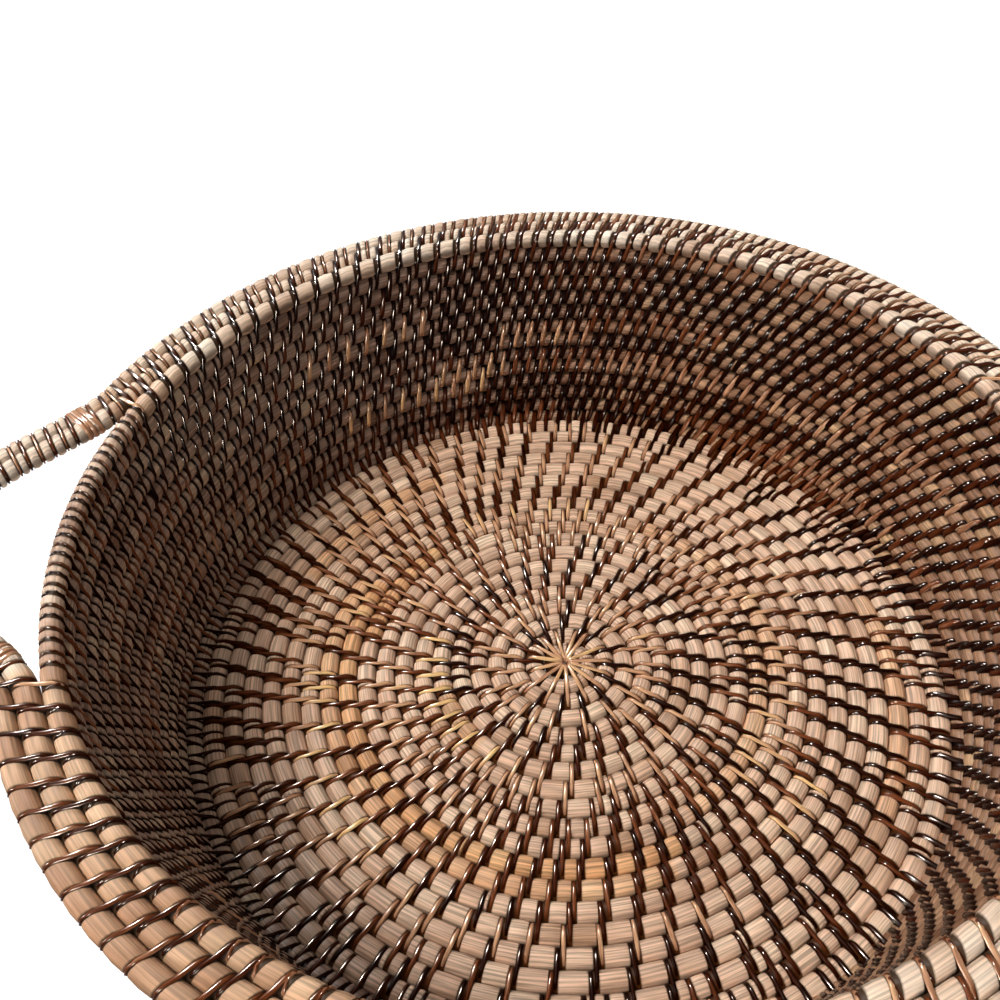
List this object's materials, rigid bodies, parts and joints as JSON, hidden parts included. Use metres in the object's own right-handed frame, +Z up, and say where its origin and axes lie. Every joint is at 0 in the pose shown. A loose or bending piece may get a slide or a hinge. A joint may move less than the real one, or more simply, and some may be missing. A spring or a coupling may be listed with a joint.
{
  "type": "coiled cane tray",
  "caption": "Round coiled cane tray with a flat floor, a leaning wall, a broad rim and a loop handle at each side, for carrying and serving.",
  "frame": {"origin": "on the surface that the tray stands on, under the middle of the floor", "axes": "+Z up out of the tray, +X and -X towards the two handles, -Y towards the side where the rows step up"},
  "size_m": [0.4826, 0.4046, 0.1043],
  "materials": {
    "floor_cane": "smoked rattan core, satin",
    "wall_cane": "smoked rattan core, satin",
    "rim_cane": "smoked rattan core, satin",
    "binding_strip": "split cane skin, glossy"
  },
  "bodies": {
    "root": {"floor_coil": "floor_cane", "wall_coil_lower": "wall_cane", "wall_coil_middle": "wall_cane", "wall_coil_upper": "wall_cane", "rim_hoop_inner": "rim_cane", "rim_hoop_middle": "rim_cane", "rim_hoop_outer": "rim_cane", "lashing_left_front": "binding_strip", "lashing_left_back": "binding_strip", "lashing_right_front": "binding_strip", "lashing_right_back": "binding_strip"}
  },
  "joints": []
}
